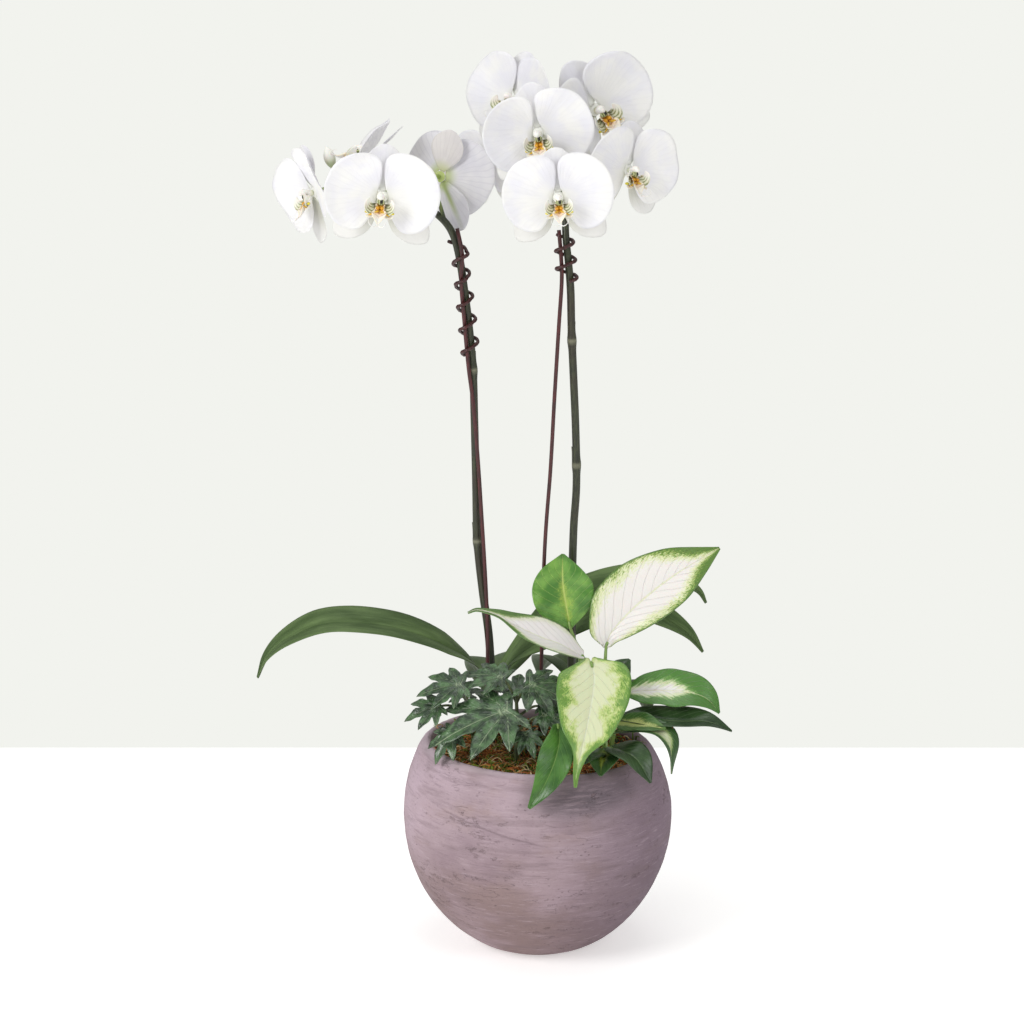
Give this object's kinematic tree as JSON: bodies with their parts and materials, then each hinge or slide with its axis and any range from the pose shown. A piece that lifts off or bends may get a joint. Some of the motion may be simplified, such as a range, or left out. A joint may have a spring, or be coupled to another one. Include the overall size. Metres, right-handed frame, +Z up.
{
  "type": "potted orchid",
  "caption": "White moth orchids on two staked spikes with strap leaves, variegated and lobed foliage plants and moss in a clay globe pot.",
  "frame": {"origin": "centre of the flat underside of the pot's foot, on the surface it stands on", "axes": "+Z up along the pot's axis, +X to the right and +Y away from the viewer of the picture"},
  "size_m": [0.382, 0.2635, 0.7226],
  "materials": {
    "pot_clay": "matt unglazed mauve-grey clay with trowel streaks",
    "potting_bark": "loose dark bark and peat",
    "moss": "curly brown fibre with green moss",
    "petal_white": "soft satin white petal",
    "lip_yellow": "white lip with a yellow throat",
    "bud_cream": "satin cream-green bud",
    "orchid_leaf_green": "leathery muted green, half matt",
    "spike_green": "smooth dark olive-green stem",
    "stake_burgundy": "dark burgundy coated wire stake",
    "tie_brown": "dark brown coated tie wire",
    "leaf_bright_green": "glossy bright green with a yellow midrib",
    "leaf_cream_green": "cream leaf with a mottled green margin, half gloss",
    "leaf_mid_green": "glossy mid green",
    "lobed_leaf_green": "glossy dark blue-green with pale veins"
  },
  "bodies": {
    "root": {"flower_bud_left": "bud_cream", "flower_left_1_lip": "lip_yellow", "flower_left_1_petals": "petal_white", "flower_left_2_lip": "lip_yellow", "flower_left_2_petals": "petal_white", "flower_left_3_lip": "lip_yellow", "flower_left_3_petals": "petal_white", "flower_left_4_lip": "lip_yellow", "flower_left_4_petals": "petal_white", "flower_right_1_lip": "lip_yellow", "flower_right_1_petals": "petal_white", "flower_right_2_lip": "lip_yellow", "flower_right_2_petals": "petal_white", "flower_right_3_lip": "lip_yellow", "flower_right_3_petals": "petal_white", "flower_right_4_lip": "lip_yellow", "flower_right_4_petals": "petal_white", "flower_right_5_lip": "lip_yellow", "flower_right_5_petals": "petal_white", "flower_right_6_lip": "lip_yellow", "flower_right_6_petals": "petal_white", "green_leaf_front": "leaf_mid_green", "growing_medium": "potting_bark", "leafy_stem_right": "leaf_mid_green", "lobed_stem_back": "lobed_leaf_green", "lobed_stem_front": "lobed_leaf_green", "lobed_stem_left": "lobed_leaf_green", "moss_mat": "moss", "orchid_crown_left": "orchid_leaf_green", "orchid_crown_right": "orchid_leaf_green", "orchid_leaf_back": "orchid_leaf_green", "orchid_leaf_left": "orchid_leaf_green", "orchid_leaf_left_back": "orchid_leaf_green", "orchid_leaf_right": "orchid_leaf_green", "orchid_leaf_right_back": "orchid_leaf_green", "orchid_leaf_right_long": "orchid_leaf_green", "orchid_spike_left": "spike_green", "orchid_spike_right": "spike_green", "pot": "pot_clay", "stake_left": "stake_burgundy", "stake_right": "stake_burgundy", "tie_left": "tie_brown", "tie_right": "tie_brown", "variegated_leaf_front": "leaf_cream_green", "variegated_leaf_large": "leaf_cream_green", "variegated_leaf_left": "leaf_cream_green", "variegated_leaf_right": "leaf_cream_green", "variegated_leaf_upright": "leaf_bright_green"}
  },
  "joints": []
}
